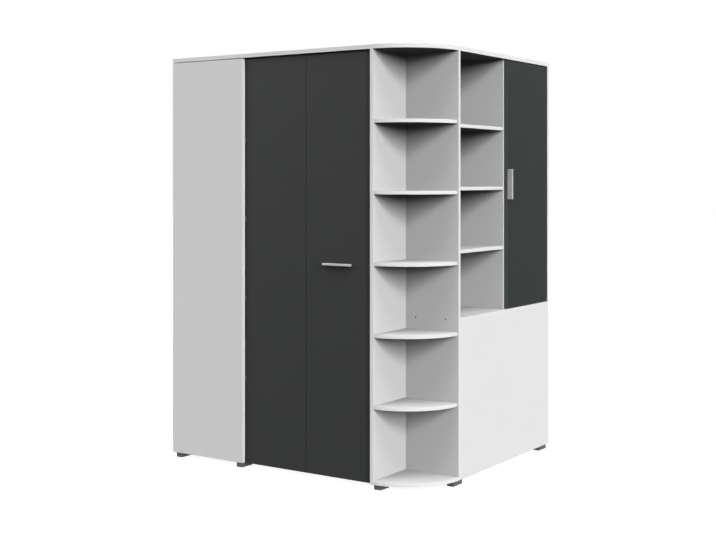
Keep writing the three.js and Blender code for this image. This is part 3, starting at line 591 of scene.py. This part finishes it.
class WARDROBE_OT_finishes(bpy.types.Operator):
    """Make the materials, named for what each real surface is"""

    bl_idname = "wardrobe.finishes"
    bl_label = "Finishes"

    def execute(self, context):
        boards, fittings = context.scene.wardrobe_boards, context.scene.wardrobe_fittings
        for axis, letter in enumerate("xyz"):
            # The white band's brighter colour is partly painted sheen
            melamine(f"white_melamine_{letter}", boards.white, boards.white_band_and_sheen, axis, rough=0.55, shine=0.02)
        # The small door faces along x. The folding door faces along y, and is a little glossier
        # The small door's light band is a painted highlight on its edge
        melamine("anthracite_melamine_x", boards.small_anthracite, boards.small_band_painted_highlight, 0, rough=0.5, shine=0.02)
        # The folding door's dark band paints shade into its gaps
        melamine("anthracite_melamine_y", boards.anthracite, boards.leaf_band_painted_gap_shade, 1, rough=0.5, shine=0.12)
        hardboard(boards.sheet_paint, boards.sheet_fibre)
        aluminium_lacquer(fittings.aluminium)
        zinc_plate(fittings.steel)
        chromed_tube(fittings.chrome)
        # Polypropylene is the waxiest and dullest of these, and the soft polyurethane the smoothest
        moulded_plastic("dark_polypropylene", fittings.polypropylene, rough=0.5)
        moulded_plastic("grey_nylon", fittings.nylon, rough=0.45)
        moulded_plastic("white_polystyrene", fittings.polystyrene, rough=0.4)
        moulded_plastic("soft_polyurethane", fittings.polyurethane, rough=0.35)
        return {"FINISHED"}


class WARDROBE_OT_boards(bpy.types.Operator):
    """Give every board its decor and the small radius of its edge banding"""

    bl_idname = "wardrobe.boards"
    bl_label = "Boards"

    def execute(self, context):
        decors = {"white_board": "white_melamine", "anthracite_board": "anthracite_melamine"}
        for slot, decor in decors.items():
            for name in nodes_in(slot):
                board = dress(name, f"{decor}_{'xyz'[thin_axis(name)]}")
                soften(board, context.scene.wardrobe_boards.edge)
        dress("rear_back_sheet", "painted_hardboard")
        return {"FINISHED"}


class WARDROBE_OT_handles(bpy.types.Operator):
    """Make the two bar handles with their finger hollows, and the screws behind them"""

    bl_idname = "wardrobe.handles"
    bl_label = "Handles"

    def execute(self, context):
        # The hollow is below on the folding door and to the right on the small door
        handles = {
            "leaf_handle": (UP, FRONT, "right_leaf", "right_door_leaf"),
            "cupboard_handle": (FRONT, RIGHT, "small_door", "cupboard_door"),
        }
        for node, (up, out, body, door) in handles.items():
            up, out = Vector(up), Vector(out)
            along = up.cross(out)
            low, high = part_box(node)
            length, width, depth = (abs((high - low).dot(d)) for d in (along, up, out))
            rings, uv = handle_rings(length, width, depth)
            foot = middle(node) - out * depth / 2
            bar = add_piece(f"{node}_bar", rings, [(foot, out, up)], body,
                            "aluminium_lacquer", uv=uv, sharp=50)
            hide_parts(node)
            low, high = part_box(door)
            back = foot - out * abs((high - low).dot(out))
            half = along * context.scene.wardrobe_fittings.screw_spacing / 2
            add_screws(f"{node}_screws", [back - half, back + half], -out, body)
        return {"FINISHED"}


class WARDROBE_OT_hinges(bpy.types.Operator):
    """Finish the jamb, fold and cupboard hinges, with their screws and the knuckles that show at the jamb"""

    bl_idname = "wardrobe.hinges"
    bl_label = "Hinges"

    def execute(self, context):
        for name in nodes_in("zinc_steel"):
            soften(dress(name, "zinc_plated_steel"), 0)
        near, far = 8 * MM, 22 * MM  # distances of the screws from a plate's free end
        apart = 12 * MM  # half the distance between the two rows of screws
        plate = 1.2 * MM  # thickness of a frame half's plate
        knuckle_inset = 2.3 * MM  # from the leaf's edge to the middle of the knuckle that shows
        spots = [(d, e) for d in (near, far) for e in (-apart, apart)]
        jamb_frame, jamb_door, small_frame, small_door, knuckles = [], [], [], [], []
        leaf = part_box("left_door_leaf")[0]
        for number in (1, 2, 3, 4):
            low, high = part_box(f"jamb_hinge_{number}_frame_half")
            z = (low.z + high.z) / 2
            jamb_frame += [(low.x + plate, high.y - d, z + e) for d, e in spots]
            knuckles.append(((leaf.x + knuckle_inset, leaf.y, z), FRONT, UP))
            low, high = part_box(f"jamb_hinge_{number}_door_half")
            jamb_door += [(high.x - d, high.y, z + e) for d, e in spots]
        for number in (1, 2):
            low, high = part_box(f"cupboard_hinge_{number}_frame_half")
            z = (low.z + high.z) / 2
            small_frame += [(low.x + d, high.y - plate, z + e) for d, e in spots]
            low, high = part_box(f"cupboard_hinge_{number}_door_half")
            small_door += [(low.x, low.y + d, z + e) for d, e in spots]
        add_screws("jamb_hinge_frame_screws", jamb_frame, RIGHT, "carcass")
        add_screws("jamb_hinge_door_screws", jamb_door, BACK, "left_leaf")
        add_screws("cupboard_hinge_frame_screws", small_frame, FRONT, "carcass")
        add_screws("cupboard_hinge_door_screws", small_door, LEFT, "small_door")
        knuckle = boss_rings(width=3.2 * MM, length=21 * MM, height=0.9 * MM, rim=0.9 * MM, power=5)
        add_piece("jamb_hinge_knuckles", knuckle, knuckles, "left_leaf", "zinc_plated_steel")
        screws_per_half, from_end = 14, 24 * MM
        for side, body in (("left", "left_leaf"), ("right", "right_leaf")):
            low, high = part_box(f"fold_hinge_{side}_half")
            x = low.x + near if side == "left" else high.x - near
            heights = np.linspace(low.z + from_end, high.z - from_end, screws_per_half)
            row = [(x, low.y + plate, float(z)) for z in heights]
            add_screws(f"fold_hinge_{side}_screws", row, BACK, body, rise=0.3)
        return {"FINISHED"}


class WARDROBE_OT_rail(bpy.types.Operator):
    """Finish the clothes rail, its sockets, the track and the guide pin"""

    bl_idname = "wardrobe.rail"
    bl_label = "Clothes rail and track"

    def execute(self, context):
        edge = 0.3 * MM
        soften(dress("clothes_rail", "chromed_steel"), edge)
        for name in ("rail_socket_left", "rail_socket_right", "guide_track", "guide_pin"):
            soften(dress(name, "grey_nylon"), edge)
        flange = 3 * MM  # thickness of a socket's flange
        reach = 20.6 * MM  # from the rail's axis to a screw
        rings = screw_rings(radius=1.9 * MM, rise=0.4)
        for side, out in (("left", RIGHT), ("right", LEFT)):
            low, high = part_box(f"rail_socket_{side}")
            x = low.x + flange if side == "left" else high.x - flange
            axis = (low + high) / 2
            places = [((x, axis.y, axis.z + e), out, UP) for e in (-reach, reach)]
            add_piece(f"rail_socket_{side}_screws", rings, places, "carcass", "zinc_plated_steel")
        return {"FINISHED"}


class WARDROBE_OT_supports(bpy.types.Operator):
    """Set the steel pins that carry the loose shelves of the cupboard and of the linen column"""

    bl_idname = "wardrobe.supports"
    bl_label = "Shelf pins"

    def execute(self, context):
        drop = 2.5 * MM  # a pin's axis stands its radius below the shelf
        inset = 50 * MM  # from a shelf's corner to a pin
        places = []
        for number in (1, 2):
            low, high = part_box(f"cupboard_shelf_{number}")
            for x in (low.x + inset, high.x - inset):
                places.append(((x, low.y, low.z - drop), BACK, UP))
                places.append(((x, high.y, low.z - drop), FRONT, UP))
        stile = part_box("hinge_stile")[0]
        for number in (1, 2, 3):
            low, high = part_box(f"column_shelf_{number}")
            z = low.z - drop
            places += [((low.x, y, z), RIGHT, UP) for y in (low.y + inset, high.y - inset)]
            places.append(((stile.x, low.y + inset, z), LEFT, UP))
            places.append(((high.x - inset, high.y, z), FRONT, UP))
        add_piece("shelf_pins", pin_rings(), places, "carcass", "zinc_plated_steel")
        return {"FINISHED"}


class WARDROBE_OT_trim(bpy.types.Operator):
    """Fit the back sheet's joining strip and clips, the tower's dark screw caps, which are painted shade in its
    screw seats, and the small door's buffers
    """

    bl_idname = "wardrobe.trim"
    bl_label = "Strip, clips, caps and buffers"

    def execute(self, context):
        low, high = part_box("rear_back_sheet")
        strip = strip_rings(width=16 * MM, thickness=5.6 * MM, length=high.z - low.z)
        foot = ((low.x + high.x) / 2, (low.y + high.y) / 2, low.z)
        add_piece("back_strip", strip, [(foot, UP, BACK)], "carcass", "white_polystyrene")

        clip = boss_rings(width=16 * MM, length=26 * MM, height=2.8 * MM, rim=1 * MM, power=5)
        from_side, from_end, per_side = 8 * MM, 120 * MM, 5
        heights = np.linspace(low.z + from_end, high.z - from_end, per_side)
        sides = (low.x + from_side, high.x - from_side)
        places = [((x, high.y, float(z)), BACK, UP) for x in sides for z in heights]
        add_piece("back_clips", clip, places, "carcass", "white_polystyrene")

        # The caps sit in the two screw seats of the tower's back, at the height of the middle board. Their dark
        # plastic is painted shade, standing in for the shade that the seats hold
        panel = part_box("tower_back_panel")[0]
        seat_shade_cap = boss_rings(width=6.9 * MM, length=6.9 * MM, height=1.2 * MM, rim=0.4 * MM, power=2)
        seat_depth, seat_places = 1.5 * MM, (50 * MM, 199 * MM)
        z = middle("mid_board").z
        places = [((panel.x + x, panel.y + seat_depth, z), FRONT, UP) for x in seat_places]
        add_piece("tower_caps_painted_shade", seat_shade_cap, places, "carcass", "dark_polypropylene")

        # The buffers meet the edge of the divider, a little behind its middle
        low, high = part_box("cupboard_door")
        dot = boss_rings(width=8 * MM, length=8 * MM, height=1.9 * MM, rim=1.2 * MM, power=2)
        from_middle, from_end = 3 * MM, 47 * MM
        y = middle("cupboard_divider").y + from_middle
        places = [((low.x, y, z), LEFT, UP) for z in (low.z + from_end, high.z - from_end)]
        add_piece("door_buffers", dot, places, "small_door", "soft_polyurethane")
        return {"FINISHED"}


class WARDROBE_OT_feet(bpy.types.Operator):
    """Finish the low plastic feet"""

    bl_idname = "wardrobe.feet"
    bl_label = "Feet"

    def execute(self, context):
        for name in nodes_in("dark_plastic"):
            soften(dress(name, "dark_polypropylene"), 0.8 * MM)
        return {"FINISHED"}


class WARDROBE_OT_stage(bpy.types.Operator):
    """Set up the floor, the white surround, the studio light and the camera"""

    bl_idname = "wardrobe.stage"
    bl_label = "Stage"

    def execute(self, context):
        scene, settings = context.scene, context.scene.wardrobe_stage
        scene.view_settings.view_transform = "Standard"
        add_floor(scene, settings.ambient)
        add_surround(scene, settings.ambient)
        add_lamps(scene, settings)
        add_camera(scene, settings.focal)
        return {"FINISHED"}


# Floor, surround, light and camera

def add_floor(scene, ambient):
    """A square of studio paper, which isn't part of the wardrobe."""
    half = 30
    corners = [(-half, -half, 0), (half, -half, 0), (half, half, 0), (-half, half, 0)]
    mesh = bpy.data.meshes.new("floor")
    mesh.from_pydata(corners, [], [(0, 1, 2, 3)])
    pale_floor(ambient)
    mesh.materials.append(bpy.data.materials["pale_floor"])
    floor = bpy.data.objects.new("floor", mesh)
    scene.collection.objects.link(floor)


def add_surround(scene, ambient):
    """A white surround for the camera, reflections and see-through rays, and a dim one for soft light."""
    world = bpy.data.worlds.new("studio")
    world.use_nodes = True
    tree = world.node_tree
    tree.nodes.clear()
    strength = add_node(tree, "ShaderNodeMapRange", {"Value": seen_directly(tree), "To Min": ambient, "To Max": 1})
    background = add_node(tree, "ShaderNodeBackground", {"Color": (1, 1, 1, 1), "Strength": strength})
    add_node(tree, "ShaderNodeOutputWorld", {"Surface": background})
    scene.world = world


def add_lamp(scene, name, kind, energy, turn, **settings):
    """A lamp turned by angles in degrees. It lights only what the camera or a reflection sees first, and adds
    nothing to light that has bounced, so that recesses keep their depth."""
    lamp = bpy.data.lights.new(name, kind)
    lamp.energy = energy
    for setting, value in settings.items():
        setattr(lamp, setting, value)
    lamp.cycles.max_bounces = 0
    lamp.cycles.use_multiple_importance_sampling = False
    holder = bpy.data.objects.new(name, lamp)
    holder.rotation_euler = [math.radians(angle) for angle in turn]
    scene.collection.objects.link(holder)
    return holder


def add_lamps(scene, settings):
    """Soft lamps, each a disc of sky given by its bearing from the front, its height and its width in degrees, and
    an upright one behind the folding door, which shows the walk-in space when the door is open."""
    lamps = {
        "right_light": (settings.key, 60, 16, 26),
        "upper_right_light": (settings.crisp, 60, 29, 12),
        "high_light": (settings.top, 90, 62, 40),
        "front_light": (settings.front, -15, 65, 40),
        "left_light": (settings.left, -60, 15, 20),
        "right_rear_light": (settings.right_rear, 150, 15, 20),
        "left_rear_light": (settings.rear, -120, 3, 10),
        "rear_light": (settings.rear, -160, 4, 10),
        "reflector_card": (settings.card, -34, 22, 40),
    }
    for name, (strength, bearing, height, width) in lamps.items():
        turn = (90 - height, 0, bearing)
        holder = add_lamp(scene, name, "SUN", strength, turn, angle=math.radians(width))
        holder.visible_diffuse = name != "reflector_card"
    low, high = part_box("left_door_leaf")[0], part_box("right_door_leaf")[1]
    share, behind = 0.9, 60 * MM  # of the door's size, and from the door
    holder = add_lamp(scene, "inside_light", "AREA", settings.inside, (90, 0, 0), shape="RECTANGLE",
                      size=share * (high.x - low.x), size_y=share * (high.z - low.z))
    holder.location = ((low.x + high.x) / 2, high.y + behind, (low.z + high.z) / 2)
    holder.visible_camera = holder.visible_glossy = False


def add_camera(scene, focal):
    """A level camera where the photograph was taken from, in front of the right front corner. The picture is
    shifted down until the horizon is in its row of pixels."""
    picture_width, picture_height, horizon = 716, 540, 180.64
    bearing, level = 33.85, 90
    lens = bpy.data.cameras.new("camera")
    lens.lens = focal
    lens.sensor_width = 36
    lens.shift_y = -(picture_height / 2 - horizon) / picture_width
    lens.clip_end = 100
    camera = bpy.data.objects.new("camera", lens)
    camera.location = (3.2145, -4.857, 1.299)
    camera.rotation_euler = (math.radians(level), 0, math.radians(bearing))
    scene.collection.objects.link(camera)
    scene.camera = camera


# Panel and registration

class WARDROBE_PT_panel(bpy.types.Panel):
    """Lists the settings and the steps that dress the wardrobe"""

    bl_label = "Wardrobe"
    bl_idname = "WARDROBE_PT_panel"
    bl_space_type = "VIEW_3D"
    bl_region_type = "UI"
    bl_category = "Wardrobe"

    def draw(self, context):
        scene = context.scene
        for settings in (scene.wardrobe_boards, scene.wardrobe_fittings, scene.wardrobe_stage):
            box = self.layout.box()
            for name in settings.bl_rna.properties.keys():
                if name not in ("rna_type", "name"):
                    box.prop(settings, name)
        for step in STEPS:
            self.layout.operator(step.bl_idname)


STEPS = (
    WARDROBE_OT_finishes,
    WARDROBE_OT_boards,
    WARDROBE_OT_handles,
    WARDROBE_OT_hinges,
    WARDROBE_OT_rail,
    WARDROBE_OT_supports,
    WARDROBE_OT_trim,
    WARDROBE_OT_feet,
    WARDROBE_OT_stage,
)
CLASSES = (BoardSettings, FittingSettings, StageSettings, *STEPS, WARDROBE_PT_panel)


def register():
    """Registers the classes and hangs the settings on the scene."""
    for made in CLASSES:
        bpy.utils.register_class(made)
    bpy.types.Scene.wardrobe_boards = bpy.props.PointerProperty(type=BoardSettings)
    bpy.types.Scene.wardrobe_fittings = bpy.props.PointerProperty(type=FittingSettings)
    bpy.types.Scene.wardrobe_stage = bpy.props.PointerProperty(type=StageSettings)


def unregister():
    """Takes the settings and classes away again."""
    del bpy.types.Scene.wardrobe_stage
    del bpy.types.Scene.wardrobe_fittings
    del bpy.types.Scene.wardrobe_boards
    for made in reversed(CLASSES):
        bpy.utils.unregister_class(made)


def main():
    """Dresses the wardrobe step by step."""
    register()
    bpy.ops.wardrobe.finishes()
    bpy.ops.wardrobe.boards()
    bpy.ops.wardrobe.handles()
    bpy.ops.wardrobe.hinges()
    bpy.ops.wardrobe.rail()
    bpy.ops.wardrobe.supports()
    bpy.ops.wardrobe.trim()
    bpy.ops.wardrobe.feet()
    bpy.ops.wardrobe.stage()


if __name__ == "__main__":
    main()
